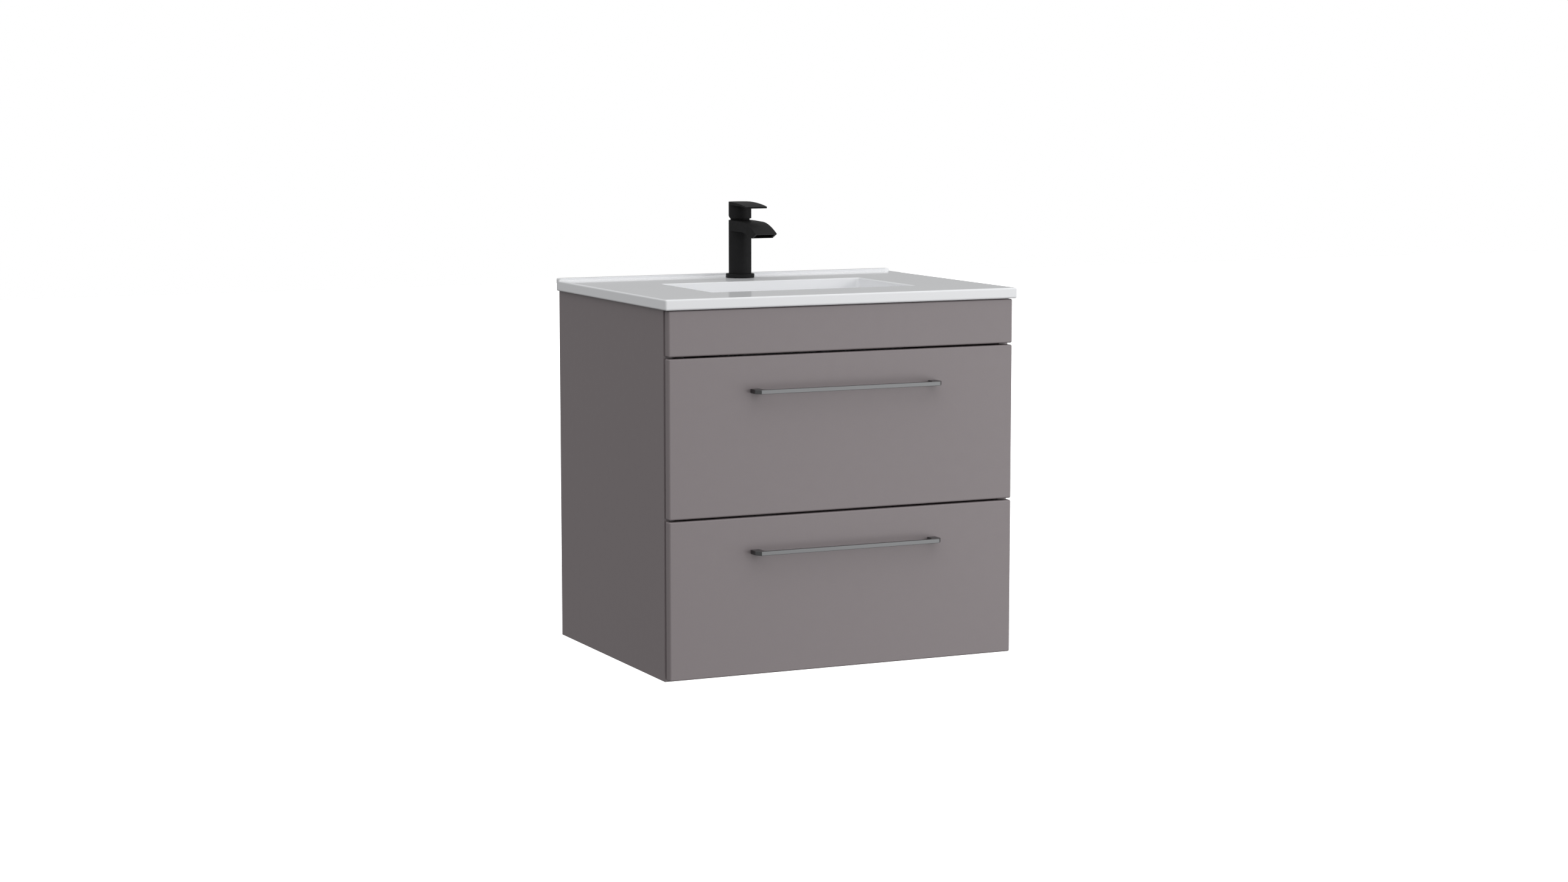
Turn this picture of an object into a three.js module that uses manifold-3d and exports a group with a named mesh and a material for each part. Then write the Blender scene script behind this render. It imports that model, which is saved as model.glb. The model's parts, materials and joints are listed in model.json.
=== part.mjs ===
// Wall-hung bathroom vanity cabinet with two drawers, a ceramic basin and a single-lever tap.
// Millimetres, +Z up, front towards -Y, wall at +Y.
// Origin: centre of the bounding box, at the cabinet's underside.

import * as THREE from "three";
import { mergeVertices } from "three/addons/utils/BufferGeometryUtils.js";
import Module from "manifold-3d";

// ---------------------------------------------------------------- driving dimensions

const CABINET_WIDTH = 600;
const CABINET_HEIGHT = 577;
const DEPTH = 461; // wall to the face of the drawer fronts
const BOARD = 16; // carcass and front panels
const HANDLE_REACH = 26; // how far a handle stands off its front

const FRONT_REVEAL = 1.5; // a front stops this far short of the carcass side
const FRONT_STAND_OFF = 2; // bumper gap between a front and the carcass
const BASE_REVEAL = 3.5; // carcass underside to the lower front
const FRONT_SPLIT = 3; // gap between neighbouring fronts
const DRAWER_FRONT_HEIGHT = 248;
const FASCIA_HEIGHT = 70.5;

const BASIN_WIDTH = 610;
const BASIN_OVERHANG = 4; // basin edge in front of the drawer fronts
const BASIN_EDGE = 17;
const UPSTAND_HEIGHT = 4;
const UPSTAND_THICKNESS = 12;
const BOWL_WIDTH = 356;
const BOWL_LENGTH = 204; // front to back
const BOWL_DEPTH = 110;
const BOWL_FRONT_RIM = 108; // face of the fronts to the bowl's front edge
const CERAMIC = 10;

const RUNNER = { length: 400, height: 45, thickness: 12.5, sheet: 1.25, ball: 3, setBack: 2, aboveFloor: 70 };

const BOX_SIDE = 12; // drawer box boards
const BOX_LENGTH = 406.5;
const LOWER_BOX = { floor: 30, height: 170 };
const UPPER_BOX = { floor: 276, height: 150 };
const CUTOUT_WIDTH = 150; // gap in the upper drawer around the trap
const CUTOUT_FRONT_Y = -75;
const SURROUND = 8; // wall of the plastic trim around that gap

const TAP_RADIUS = 19;
const TAP_AXIS_TO_WALL = 62;
const TAP_RING = { radius: 24, height: 7 };
const TAP_BODY_TOP = 96; // above the deck
const LEVER_PIVOT = 99; // above the deck

// ---------------------------------------------------------------- derived places

const WALL_Y = (DEPTH + HANDLE_REACH) / 2;
const FRONT_Y = WALL_Y - DEPTH;
const FRONT_BACK_Y = FRONT_Y + BOARD;
const CARCASS_FRONT_Y = FRONT_BACK_Y + FRONT_STAND_OFF;
const HALF_CABINET = CABINET_WIDTH / 2;
const HALF_INSIDE = HALF_CABINET - BOARD;
const HALF_FRONT = HALF_CABINET - FRONT_REVEAL;
const HALF_BASIN = BASIN_WIDTH / 2;

const LOWER_FRONT_Z = BASE_REVEAL;
const UPPER_FRONT_Z = LOWER_FRONT_Z + DRAWER_FRONT_HEIGHT + FRONT_SPLIT;
const FASCIA_Z = UPPER_FRONT_Z + DRAWER_FRONT_HEIGHT + FRONT_SPLIT;

const DECK_Z = CABINET_HEIGHT + BASIN_EDGE;
const BOWL_Y = FRONT_Y + BOWL_FRONT_RIM + BOWL_LENGTH / 2;
const BOWL_FLOOR_Z = DECK_Z - BOWL_DEPTH;
const BOWL_UNDER_Z = BOWL_FLOOR_Z - CERAMIC;

const BACK_PANEL = 8;
const BACK_PANEL_Y = WALL_Y - 28; // leaves a service gap behind it
const HANGING_RAIL_HEIGHT = 100;
const HANGING_RAIL_Z = CABINET_HEIGHT - HANGING_RAIL_HEIGHT;

const HALF_BOX = HALF_INSIDE - RUNNER.thickness;
const BOX_BACK_Y = FRONT_BACK_Y + BOX_LENGTH;

const TAP_Y = WALL_Y - TAP_AXIS_TO_WALL;
const TRAP_OUTLET_Z = 372;

const FIT = 0.3; // clearance between pieces that touch on a curved or cut face
const PAST = 1; // how far a cutting shape runs past the face that it cuts

// ---------------------------------------------------------------- materials

const finish = (color, roughness, metalness = 0) =>
  new THREE.MeshStandardMaterial({ color, roughness, metalness });

const PAINTED_BOARD = finish(0x8a8385, 0.45);
const BOX_BOARD = finish(0xc9c6c2, 0.6);
const CERAMIC_GLAZE = finish(0xf1f2f4, 0.12);
const BLACK_METAL = finish(0x1d1d1e, 0.45, 0.6);
const GUNMETAL = finish(0x7b7d7f, 0.35, 0.9);
const ZINC = finish(0xb4b7ba, 0.35, 0.9);
const CHROME = finish(0xd8dadc, 0.12, 1);
const WHITE_PLASTIC = finish(0xe8e8e6, 0.4);
const GREY_PLASTIC = finish(0x9c9a99, 0.5);

// ---------------------------------------------------------------- shape helpers

const wasm = await Module();
wasm.setup();

// A closed geometry as a manifold-3d solid, for cutting and joining.
function solid(geometry) {
  const bare = new THREE.BufferGeometry();
  const source = geometry.index ? geometry.toNonIndexed() : geometry;
  bare.setAttribute("position", source.getAttribute("position"));
  const merged = mergeVertices(bare, 1e-4);
  return new wasm.Manifold(
    new wasm.Mesh({
      numProp: 3,
      vertProperties: merged.attributes.position.array,
      triVerts: new Uint32Array(merged.index.array),
    }),
  );
}

function geometryOf(manifold) {
  const mesh = manifold.getMesh();
  const geometry = new THREE.BufferGeometry();
  geometry.setAttribute("position", new THREE.BufferAttribute(mesh.vertProperties, 3));
  geometry.setIndex(new THREE.BufferAttribute(mesh.triVerts, 1));
  geometry.computeVertexNormals();
  return geometry;
}

const join = (first, ...rest) =>
  geometryOf(rest.reduce((sum, next) => sum.add(solid(next)), solid(first)));
const cut = (first, ...rest) =>
  geometryOf(rest.reduce((sum, next) => sum.subtract(solid(next)), solid(first)));

// A box given by its two limits along each axis.
function box([x0, x1], [y0, y1], [z0, z1]) {
  const geometry = new THREE.BoxGeometry(x1 - x0, y1 - y0, z1 - z0);
  return geometry.translate((x0 + x1) / 2, (y0 + y1) / 2, (z0 + z1) / 2);
}

const mirrored = ([a, b], side) => (side > 0 ? [a, b] : [-b, -a]);

function shapeOf(points) {
  return new THREE.Shape(points.map(([a, b]) => new THREE.Vector2(a, b)));
}

const extruded = (shape, depth, curveSegments) =>
  new THREE.ExtrudeGeometry(shape, { depth, bevelEnabled: false, curveSegments });

// A plan outline in X and Y, standing from z0 to z1.
const upright = (shape, [z0, z1], curveSegments = 8) =>
  extruded(shape, z1 - z0, curveSegments).translate(0, 0, z0);

// A side outline in Y and Z, running across from x0 to x1.
function crosswise(shape, [x0, x1], curveSegments = 8) {
  const turn = new THREE.Matrix4().set(0, 0, 1, x0, 1, 0, 0, 0, 0, 1, 0, 0, 0, 0, 0, 1);
  return extruded(shape, x1 - x0, curveSegments).applyMatrix4(turn);
}

// A front outline in X and Z, running back from y0 to y1.
function lengthwise(shape, [y0, y1], curveSegments = 8) {
  return extruded(shape, y1 - y0, curveSegments).rotateX(Math.PI / 2).translate(0, y1, 0);
}

// A turned piece about a vertical axis. Profile points are [radius, z], outside first, from the bottom up.
function turned(profile, [x, y], segments = 32) {
  const points = profile.map(([r, z]) => new THREE.Vector2(r, z));
  return new THREE.LatheGeometry(points, segments).rotateX(Math.PI / 2).translate(x, y, 0);
}

// A cylinder on a vertical axis.
const post = (radius, [z0, z1], [x, y], segments = 32) =>
  turned([[0, z0], [radius, z0], [radius, z1], [0, z1]], [x, y], segments);

// A rectangle with round corners, as a ring of points.
function roundedRing(halfX, halfY, radius, z, [cx, cy], stepsPerCorner = 5) {
  const corners = [[1, 1], [-1, 1], [-1, -1], [1, -1]];
  return corners.flatMap(([sx, sy], corner) =>
    Array.from({ length: stepsPerCorner + 1 }, (_, step) => {
      const angle = (corner + step / stepsPerCorner) * (Math.PI / 2);
      const x = cx + sx * (halfX - radius) + radius * Math.cos(angle);
      const y = cy + sy * (halfY - radius) + radius * Math.sin(angle);
      return new THREE.Vector3(x, y, z);
    }),
  );
}

// A closed skin over rings of equal length, stacked from the bottom up, with flat ends.
function lofted(rings) {
  const count = rings[0].length;
  const positions = [];
  const face = (...corners) => corners.forEach((p) => positions.push(p.x, p.y, p.z));
  for (let level = 0; level < rings.length - 1; level += 1) {
    for (let i = 0; i < count; i += 1) {
      const next = (i + 1) % count;
      const [low, high] = [rings[level], rings[level + 1]];
      face(low[i], low[next], high[next]);
      face(low[i], high[next], high[i]);
    }
  }
  const [bottom, top] = [rings[0], rings[rings.length - 1]];
  for (let i = 1; i < count - 1; i += 1) {
    face(bottom[0], bottom[i + 1], bottom[i]);
    face(top[0], top[i], top[i + 1]);
  }
  const geometry = new THREE.BufferGeometry();
  geometry.setAttribute("position", new THREE.Float32BufferAttribute(positions, 3));
  return geometry;
}

const vanity = new THREE.Group();

function add(name, geometry, material, parent = vanity) {
  const mesh = new THREE.Mesh(geometry, material);
  mesh.name = name;
  parent.add(mesh);
  return mesh;
}

const SIDES = [["left", -1], ["right", 1]];

// ---------------------------------------------------------------- carcass

const ACROSS_INSIDE = [-HALF_INSIDE, HALF_INSIDE];
const GROOVE_DEPTH = 6;
const SERVICE_HOLE = { halfWidth: 110, bottom: 300, top: 450 };
const HOOK_NOTCH = { width: 24, bottom: CABINET_HEIGHT - 60, top: CABINET_HEIGHT - 20 };

function sidePanel(side) {
  const width = mirrored([HALF_INSIDE, HALF_CABINET], side);
  const board = box(width, [CARCASS_FRONT_Y, WALL_Y], [0, CABINET_HEIGHT]);
  const groove = box(
    mirrored([HALF_INSIDE - PAST, HALF_INSIDE + GROOVE_DEPTH], side),
    [BACK_PANEL_Y - FIT, BACK_PANEL_Y + BACK_PANEL + FIT],
    [BOARD, CABINET_HEIGHT + PAST],
  );
  return cut(board, groove);
}

function backPanel() {
  const half = HALF_INSIDE + GROOVE_DEPTH - FIT;
  const thickness = [BACK_PANEL_Y, BACK_PANEL_Y + BACK_PANEL];
  const board = box([-half, half], thickness, [BOARD + FIT, HANGING_RAIL_Z - FIT]);
  const hole = box(
    [-SERVICE_HOLE.halfWidth, SERVICE_HOLE.halfWidth],
    [BACK_PANEL_Y - PAST, BACK_PANEL_Y + BACK_PANEL + PAST],
    [SERVICE_HOLE.bottom, SERVICE_HOLE.top],
  );
  return cut(board, hole);
}

function hangingRail() {
  const depth = [BACK_PANEL_Y + BACK_PANEL - BOARD, BACK_PANEL_Y + BACK_PANEL];
  const rail = box(ACROSS_INSIDE, depth, [HANGING_RAIL_Z, CABINET_HEIGHT]);
  const notches = SIDES.map(([, side]) =>
    box(
      mirrored([HALF_INSIDE - HOOK_NOTCH.width, HALF_INSIDE + PAST], side),
      [depth[0] - PAST, depth[1] + PAST],
      [HOOK_NOTCH.bottom, HOOK_NOTCH.top],
    ),
  );
  return cut(rail, ...notches);
}

function frontRail() {
  const depth = [FRONT_BACK_Y, FRONT_BACK_Y + BOARD];
  return box(ACROSS_INSIDE, depth, [FASCIA_Z + FRONT_REVEAL, CABINET_HEIGHT]);
}

const frontPanel = (z, height) =>
  box([-HALF_FRONT, HALF_FRONT], [FRONT_Y, FRONT_BACK_Y], [z, z + height]);

for (const [name, side] of SIDES) add(`side_panel_${name}`, sidePanel(side), PAINTED_BOARD);
add("base_panel", box(ACROSS_INSIDE, [CARCASS_FRONT_Y, WALL_Y], [0, BOARD]), PAINTED_BOARD);
add("back_panel", backPanel(), BOX_BOARD);
add("hanging_rail", hangingRail(), BOX_BOARD);
add("front_rail", frontRail(), PAINTED_BOARD);
add("fascia_panel", frontPanel(FASCIA_Z, FASCIA_HEIGHT), PAINTED_BOARD);

// ---------------------------------------------------------------- concealed wall hangers

const HANGER = { width: 20, depth: 44, height: 62, frontWall: 10 };
const HOOK = { thickness: 4, body: 24, arm: 8, tooth: 3, below: 4 };
const WALL_PLATE = { width: 56, height: 52, sheet: 2, standOff: 4, lip: 16, holeRadius: 3 };
const HANGER_BACK_Y = BACK_PANEL_Y + BACK_PANEL - BOARD - FIT;
const HANGER_FRONT_Y = HANGER_BACK_Y - HANGER.depth;
const HANGER_MIDDLE = HALF_INSIDE - HANGER.width / 2;
const HOOK_TOP_Z = HOOK_NOTCH.top - HOOK.below;
const HOOK_ARM_Z = HOOK_TOP_Z - HOOK.arm;
const LIP_TOP_Z = HOOK_ARM_Z - FIT;

function hangerHousing(side) {
  const x = mirrored([HALF_INSIDE - HANGER.width, HALF_INSIDE], side);
  const z = [HOOK_NOTCH.top - HANGER.height, HOOK_NOTCH.top];
  const halfSlot = HOOK.thickness / 2 + FIT;
  const slot = box(
    mirrored([HANGER_MIDDLE - halfSlot, HANGER_MIDDLE + halfSlot], side),
    [HANGER_FRONT_Y + HANGER.frontWall - FIT, HANGER_BACK_Y + PAST],
    [HOOK_TOP_Z - HOOK.body, HOOK_TOP_Z + FIT],
  );
  return cut(box(x, [HANGER_FRONT_Y, HANGER_BACK_Y], z), slot);
}

// A flat steel hook: its arm reaches back through the rail, its tooth drops behind the wall plate's lip.
function hangerHook(side) {
  const bodyFront = HANGER_FRONT_Y + HANGER.frontWall;
  const bodyBack = HANGER_BACK_Y - FIT;
  const bodyBottom = HOOK_TOP_Z - HOOK.body + FIT;
  const toothBack = WALL_Y - WALL_PLATE.sheet - FIT;
  const toothFront = toothBack - HOOK.tooth;
  const toothBottom = HOOK_ARM_Z - HOOK.arm;
  const outline = shapeOf([
    [bodyFront, HOOK_TOP_Z], [bodyFront, bodyBottom], [bodyBack, bodyBottom], [bodyBack, HOOK_ARM_Z],
    [toothFront, HOOK_ARM_Z], [toothFront, toothBottom], [toothBack, toothBottom], [toothBack, HOOK_TOP_Z],
  ]);
  const half = HOOK.thickness / 2;
  return crosswise(outline, mirrored([HANGER_MIDDLE - half, HANGER_MIDDLE + half], side));
}

// The plate screwed to the wall. Its upper lip stands off so that the hook's tooth can drop behind it.
function wallPlate(side) {
  const { width, height, sheet, standOff, lip, holeRadius } = WALL_PLATE;
  const lipFront = WALL_Y - 2 * sheet - standOff;
  const lipBack = lipFront + sheet;
  const step = LIP_TOP_Z - lip;
  const bottom = LIP_TOP_Z - height;
  const outline = shapeOf([
    [lipFront, LIP_TOP_Z], [lipFront, step], [WALL_Y - sheet, step], [WALL_Y - sheet, bottom],
    [WALL_Y, bottom], [WALL_Y, step + sheet], [lipBack, step + sheet], [lipBack, LIP_TOP_Z],
  ]);
  const plate = crosswise(outline, mirrored([HALF_INSIDE - width, HALF_INSIDE - FIT], side));
  const screwHole = post(holeRadius, [-2 * sheet, 2 * sheet], [0, 0], 12).rotateX(Math.PI / 2);
  const holes = [0.3, 0.7].map((share) => {
    const x = side * (HALF_INSIDE - width * share);
    return screwHole.clone().translate(x, WALL_Y - sheet / 2, (step + bottom) / 2);
  });
  return cut(plate, ...holes);
}

for (const [name, side] of SIDES) {
  add(`hanger_housing_${name}`, hangerHousing(side), WHITE_PLASTIC);
  add(`hanger_hook_${name}`, hangerHook(side), ZINC);
  add(`wall_plate_${name}`, wallPlate(side), ZINC);
}

// ---------------------------------------------------------------- drawer runners

// Each runner has three nested channels along Y. Webs and lips are measured off the carcass side
// towards the drawer; a ball row lies between neighbouring flanges.
const RUNNER_FRONT_Y = CARCASS_FRONT_Y + RUNNER.setBack;
const NESTING = RUNNER.sheet + RUNNER.ball;
const CHANNELS = [
  { name: "cabinet", halfHeight: RUNNER.height / 2, web: 0, lip: 9.5 },
  { name: "middle", halfHeight: RUNNER.height / 2 - NESTING, web: 2.25, lip: 10.5 },
  { name: "drawer", halfHeight: RUNNER.height / 2 - 2 * NESTING, web: RUNNER.thickness, lip: 5 },
];

function channel(side, z, { halfHeight, web, lip }) {
  const x = (offset) => side * (HALF_INSIDE - offset);
  const { sheet } = RUNNER;
  const webInside = x(web + Math.sign(lip - web) * sheet);
  const outline = shapeOf([
    [x(web), z - halfHeight], [x(lip), z - halfHeight],
    [x(lip), z - halfHeight + sheet], [webInside, z - halfHeight + sheet],
    [webInside, z + halfHeight - sheet], [x(lip), z + halfHeight - sheet],
    [x(lip), z + halfHeight], [x(web), z + halfHeight],
  ]);
  return lengthwise(outline, [RUNNER_FRONT_Y, RUNNER_FRONT_Y + RUNNER.length]);
}

for (const [level, { floor }] of [["lower", LOWER_BOX], ["upper", UPPER_BOX]]) {
  for (const [name, side] of SIDES) {
    for (const member of CHANNELS) {
      const label = `${level}_runner_${name}_${member.name}_channel`;
      add(label, channel(side, floor + RUNNER.aboveFloor, member), ZINC);
    }
  }
}

// ---------------------------------------------------------------- handles

const HANDLE = {
  halfLength: 162,
  halfFace: 155,
  height: 6.5,
  bar: 6,
  foot: 15,
  straight: 17,
  corner: 7,
  belowTop: 54,
};
const SCREW_HEAD = { radius: 4, height: 2.5 };

// Plan of a strip handle: square feet, a chamfer outside and a round inside corner at each end.
function handle(z) {
  const { halfLength, halfFace, bar, foot, straight, corner } = HANDLE;
  const inner = halfLength - foot;
  const barBack = FRONT_Y - HANDLE_REACH + bar;
  const plan = new THREE.Shape();
  plan.moveTo(-halfLength, FRONT_Y);
  plan.lineTo(-halfLength, FRONT_Y - straight);
  plan.lineTo(-halfFace, FRONT_Y - HANDLE_REACH);
  plan.lineTo(halfFace, FRONT_Y - HANDLE_REACH);
  plan.lineTo(halfLength, FRONT_Y - straight);
  plan.lineTo(halfLength, FRONT_Y);
  plan.lineTo(inner, FRONT_Y);
  plan.lineTo(inner, barBack + corner);
  plan.absarc(inner - corner, barBack + corner, corner, 0, -Math.PI / 2, true);
  plan.lineTo(-inner + corner, barBack);
  plan.absarc(-inner + corner, barBack + corner, corner, -Math.PI / 2, -Math.PI, true);
  plan.lineTo(-inner, FRONT_Y);
  return upright(plan, [z - HANDLE.height / 2, z + HANDLE.height / 2], 6);
}

const HANDLE_HOLE_RADIUS = 2.3;
const HANDLE_HOLE_X = HANDLE.halfLength - HANDLE.foot / 2;
const SCREW_THREAD = 9; // how far a handle screw reaches into the handle's foot

// A round piece whose axis runs along Y. Profile points are [radius, y].
const turnedAlongY = (profile, x, z, segments = 16) =>
  turned(profile, [0, 0], segments).rotateX(-Math.PI / 2).translate(x, 0, z);

// A cylinder on an axis along Y.
const rod = (radius, [y0, y1], x, z, segments = 16) =>
  turnedAlongY([[0, y0], [radius, y0], [radius, y1], [0, y1]], x, z, segments);

function drilled(blank, depth, z) {
  const holes = SIDES.map(([, side]) => rod(HANDLE_HOLE_RADIUS, depth, side * HANDLE_HOLE_X, z));
  return cut(blank, ...holes);
}

const drawerFront = (z, handleZ) =>
  drilled(frontPanel(z, DRAWER_FRONT_HEIGHT), [FRONT_Y - PAST, FRONT_BACK_Y + PAST], handleZ);
const drilledHandle = (z) => drilled(handle(z), [FRONT_Y - SCREW_THREAD - PAST, FRONT_Y + PAST], z);

function handleScrew(side, z) {
  const shank = HANDLE_HOLE_RADIUS - FIT;
  const tip = FRONT_Y - SCREW_THREAD;
  const headFront = FRONT_BACK_Y + FIT;
  const headBack = FRONT_BACK_Y + SCREW_HEAD.height;
  const profile = [
    [0, tip], [shank, tip], [shank, headFront],
    [SCREW_HEAD.radius, headFront], [SCREW_HEAD.radius, headBack], [0, headBack],
  ];
  return turnedAlongY(profile, side * HANDLE_HOLE_X, z, 12);
}

// ---------------------------------------------------------------- drawers

function addDrawer(level, frontZ, { floor, height }) {
  const z = [floor, floor + height];
  const handleZ = frontZ + DRAWER_FRONT_HEIGHT - HANDLE.belowTop;
  add(`${level}_drawer_front`, drawerFront(frontZ, handleZ), PAINTED_BOARD);
  add(`${level}_drawer_handle`, drilledHandle(handleZ), GUNMETAL);
  for (const [name, side] of SIDES) {
    add(`${level}_handle_screw_${name}`, handleScrew(side, handleZ), ZINC);
    add(
      `${level}_drawer_side_${name}`,
      box(mirrored([HALF_BOX - BOX_SIDE, HALF_BOX], side), [FRONT_BACK_Y, BOX_BACK_Y], z),
      BOX_BOARD,
    );
  }
}

const HALF_BOX_INSIDE = HALF_BOX - BOX_SIDE;
const BOX_BACK = [BOX_BACK_Y - BOX_SIDE, BOX_BACK_Y];
const HALF_CUTOUT = CUTOUT_WIDTH / 2;

function drawerBottom({ floor }) {
  return box([-HALF_BOX_INSIDE, HALF_BOX_INSIDE], [FRONT_BACK_Y, BOX_BACK[0]], [floor, floor + BOX_SIDE]);
}

addDrawer("lower", LOWER_FRONT_Z, LOWER_BOX);
add("lower_drawer_bottom", drawerBottom(LOWER_BOX), BOX_BOARD);
add(
  "lower_drawer_back",
  box([-HALF_BOX_INSIDE, HALF_BOX_INSIDE], BOX_BACK, [LOWER_BOX.floor, LOWER_BOX.floor + LOWER_BOX.height]),
  BOX_BOARD,
);

addDrawer("upper", UPPER_FRONT_Z, UPPER_BOX);
const upperTop = UPPER_BOX.floor + UPPER_BOX.height;
const bottomNotch = box(
  [-HALF_CUTOUT, HALF_CUTOUT],
  [CUTOUT_FRONT_Y, BOX_BACK_Y],
  [UPPER_BOX.floor - PAST, UPPER_BOX.floor + BOX_SIDE + PAST],
);
add("upper_drawer_bottom", cut(drawerBottom(UPPER_BOX), bottomNotch), BOX_BOARD);
for (const [name, side] of SIDES) {
  add(
    `upper_drawer_back_${name}`,
    box(mirrored([HALF_CUTOUT, HALF_BOX_INSIDE], side), BOX_BACK, [UPPER_BOX.floor, upperTop]),
    BOX_BOARD,
  );
}

function trapSurround() {
  const outer = HALF_CUTOUT + SURROUND;
  const outline = shapeOf([
    [-HALF_CUTOUT, BOX_BACK[0]], [-outer, BOX_BACK[0]], [-outer, CUTOUT_FRONT_Y - SURROUND],
    [outer, CUTOUT_FRONT_Y - SURROUND], [outer, BOX_BACK[0]], [HALF_CUTOUT, BOX_BACK[0]],
    [HALF_CUTOUT, CUTOUT_FRONT_Y], [-HALF_CUTOUT, CUTOUT_FRONT_Y],
  ]);
  return upright(outline, [UPPER_BOX.floor + BOX_SIDE, upperTop]);
}

add("upper_drawer_trap_surround", trapSurround(), GREY_PLASTIC);

// ---------------------------------------------------------------- basin

const BASIN_CORNER = 3;
const UPSTAND_CORNER = 1;
const RIM_LIP = 20; // width of the rim's solid foot around the edge
const RIM_RECESS = 7; // hollow under the deck
const BOWL_SLOPE = Math.tan((8 * Math.PI) / 180);
const BOWL_CORNER = { radius: 3, opening: 0.3 }; // radius at the rim, and its growth with depth
const BOWL_FOOT_RADIUS = 20;
const TAP_HOLE_RADIUS = 17.5;
const TAP_WASHER_RADIUS = 23;
const DRAIN_HOLE_RADIUS = 23;
const OVERFLOW = { radius: 11, below: 42, boss: 24, depth: 14 };
const BOWL_BACK_Y = BOWL_Y + BOWL_LENGTH / 2;
const OVERFLOW_END_Y = BOWL_BACK_Y + OVERFLOW.depth;

// One level of the bowl: walls lean in with depth, turn in over the foot radius, and the corners open out.
function bowlRing(depth, outwards) {
  const intoFoot = Math.max(0, depth - (BOWL_DEPTH - BOWL_FOOT_RADIUS));
  const foot = BOWL_FOOT_RADIUS - Math.sqrt(BOWL_FOOT_RADIUS ** 2 - intoFoot ** 2);
  const inset = depth * BOWL_SLOPE + foot - outwards;
  const corner = BOWL_CORNER.radius + depth * BOWL_CORNER.opening + outwards;
  const [halfX, halfY] = [BOWL_WIDTH / 2 - inset, BOWL_LENGTH / 2 - inset];
  return roundedRing(halfX, halfY, corner, DECK_Z - depth - outwards, [0, BOWL_Y]);
}

function bowl(outwards) {
  const depths = [1, 0.98, 0.95, 0.9, 0.82, 0.5, 0.15, 0].map((share) => share * BOWL_DEPTH);
  const rings = depths.map((depth) => bowlRing(depth, outwards));
  const lidZ = outwards ? DECK_Z - 2 : DECK_Z + PAST; // the outer skin ends inside the rim's slab
  const lid = rings[rings.length - 1].map((p) => new THREE.Vector3(p.x, p.y, lidZ));
  return lofted([...rings, lid]);
}

// A slab with round corners, standing from z0 to z1 over its front and back limits.
function roundedSlab(halfX, [front, back], [z0, z1], corner) {
  const place = [0, (front + back) / 2];
  const ring = (z) => roundedRing(halfX, (back - front) / 2, corner, z, place, 3);
  return lofted([ring(z0), ring(z1)]);
}

function basin() {
  const front = FRONT_Y - BASIN_OVERHANG;
  const slab = roundedSlab(HALF_BASIN, [front, WALL_Y], [CABINET_HEIGHT, DECK_Z], BASIN_CORNER);
  const upstandY = [WALL_Y - UPSTAND_THICKNESS, WALL_Y];
  const upstandZ = [DECK_Z - 2, DECK_Z + UPSTAND_HEIGHT];
  const upstand = roundedSlab(HALF_BASIN, upstandY, upstandZ, UPSTAND_CORNER);
  const recess = box(
    [-HALF_BASIN + RIM_LIP, HALF_BASIN - RIM_LIP],
    [FRONT_Y + RIM_LIP, TAP_Y + TAP_WASHER_RADIUS + 2],
    [CABINET_HEIGHT - PAST, CABINET_HEIGHT + RIM_RECESS],
  );
  const { radius, below, boss } = OVERFLOW;
  const bossZ = [DECK_Z - below - boss, DECK_Z - BASIN_EDGE / 2];
  const overflowBoss = box([-boss, boss], [BOWL_BACK_Y - CERAMIC, BOWL_BACK_Y + boss], bossZ);
  const overflowHole = rod(radius, [BOWL_BACK_Y - boss, OVERFLOW_END_Y], 0, DECK_Z - below, 24);
  return cut(
    join(cut(slab, recess), upstand, overflowBoss, bowl(CERAMIC)),
    bowl(0),
    overflowHole,
    post(TAP_HOLE_RADIUS, [CABINET_HEIGHT, DECK_Z + PAST], [0, TAP_Y]),
    post(DRAIN_HOLE_RADIUS, [BOWL_UNDER_Z - PAST, BOWL_FLOOR_Z + PAST], [0, BOWL_Y]),
  );
}

add("basin", basin(), CERAMIC_GLAZE);

// ---------------------------------------------------------------- overflow cap, waste and trap

const OVERFLOW_CAP = { radius: 14, face: 12.5, top: 5.2, shoulder: 4.4, seat: 2.4, short: 2 };
const WASTE = { flange: 32, tube: 20.5, bore: 16, bottom: 414, flangeHeight: 2.5, chamfer: 1 };
const WASTE_TOP_Z = BOWL_FLOOR_Z + WASTE.flangeHeight;
const BRIDGE = { halfWidth: 7, z: [452, 460] }; // cross-piece that guides the plug's stem
const PLUG = { radius: 31, stem: 4, stemLength: 44, edge: 2, dome: 5, domeRadius: 28, height: 6 };
const BACKNUT = { radius: 29, height: 12 };
const TRAP = { radius: 31, wall: 3, bottom: 296, shoulder: 398, slope: 2, collar: 27, top: 428 };
const PIPE = { radius: 16, wall: 2 };
const OUTLET_NUT = { radius: 23, length: 20 };
const WALL_FLANGE = { neck: 19, radius: 34, length: 8, edge: 2 };
const PLACE_OF_WASTE = [0, BOWL_Y];
const PIPE_START_Y = BOWL_Y + TRAP.radius + FIT;

// A tube about a vertical axis.
const tube = (inner, outer, [z0, z1], place, segments = 32) =>
  turned([[inner, z0], [outer, z0], [outer, z1], [inner, z1], [inner, z0]], place, segments);

// A turned piece on the axis of the trap's outlet. Profile points are [radius, y].
const aroundOutlet = (profile) => turnedAlongY(profile, 0, TRAP_OUTLET_Z, 24);

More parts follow.
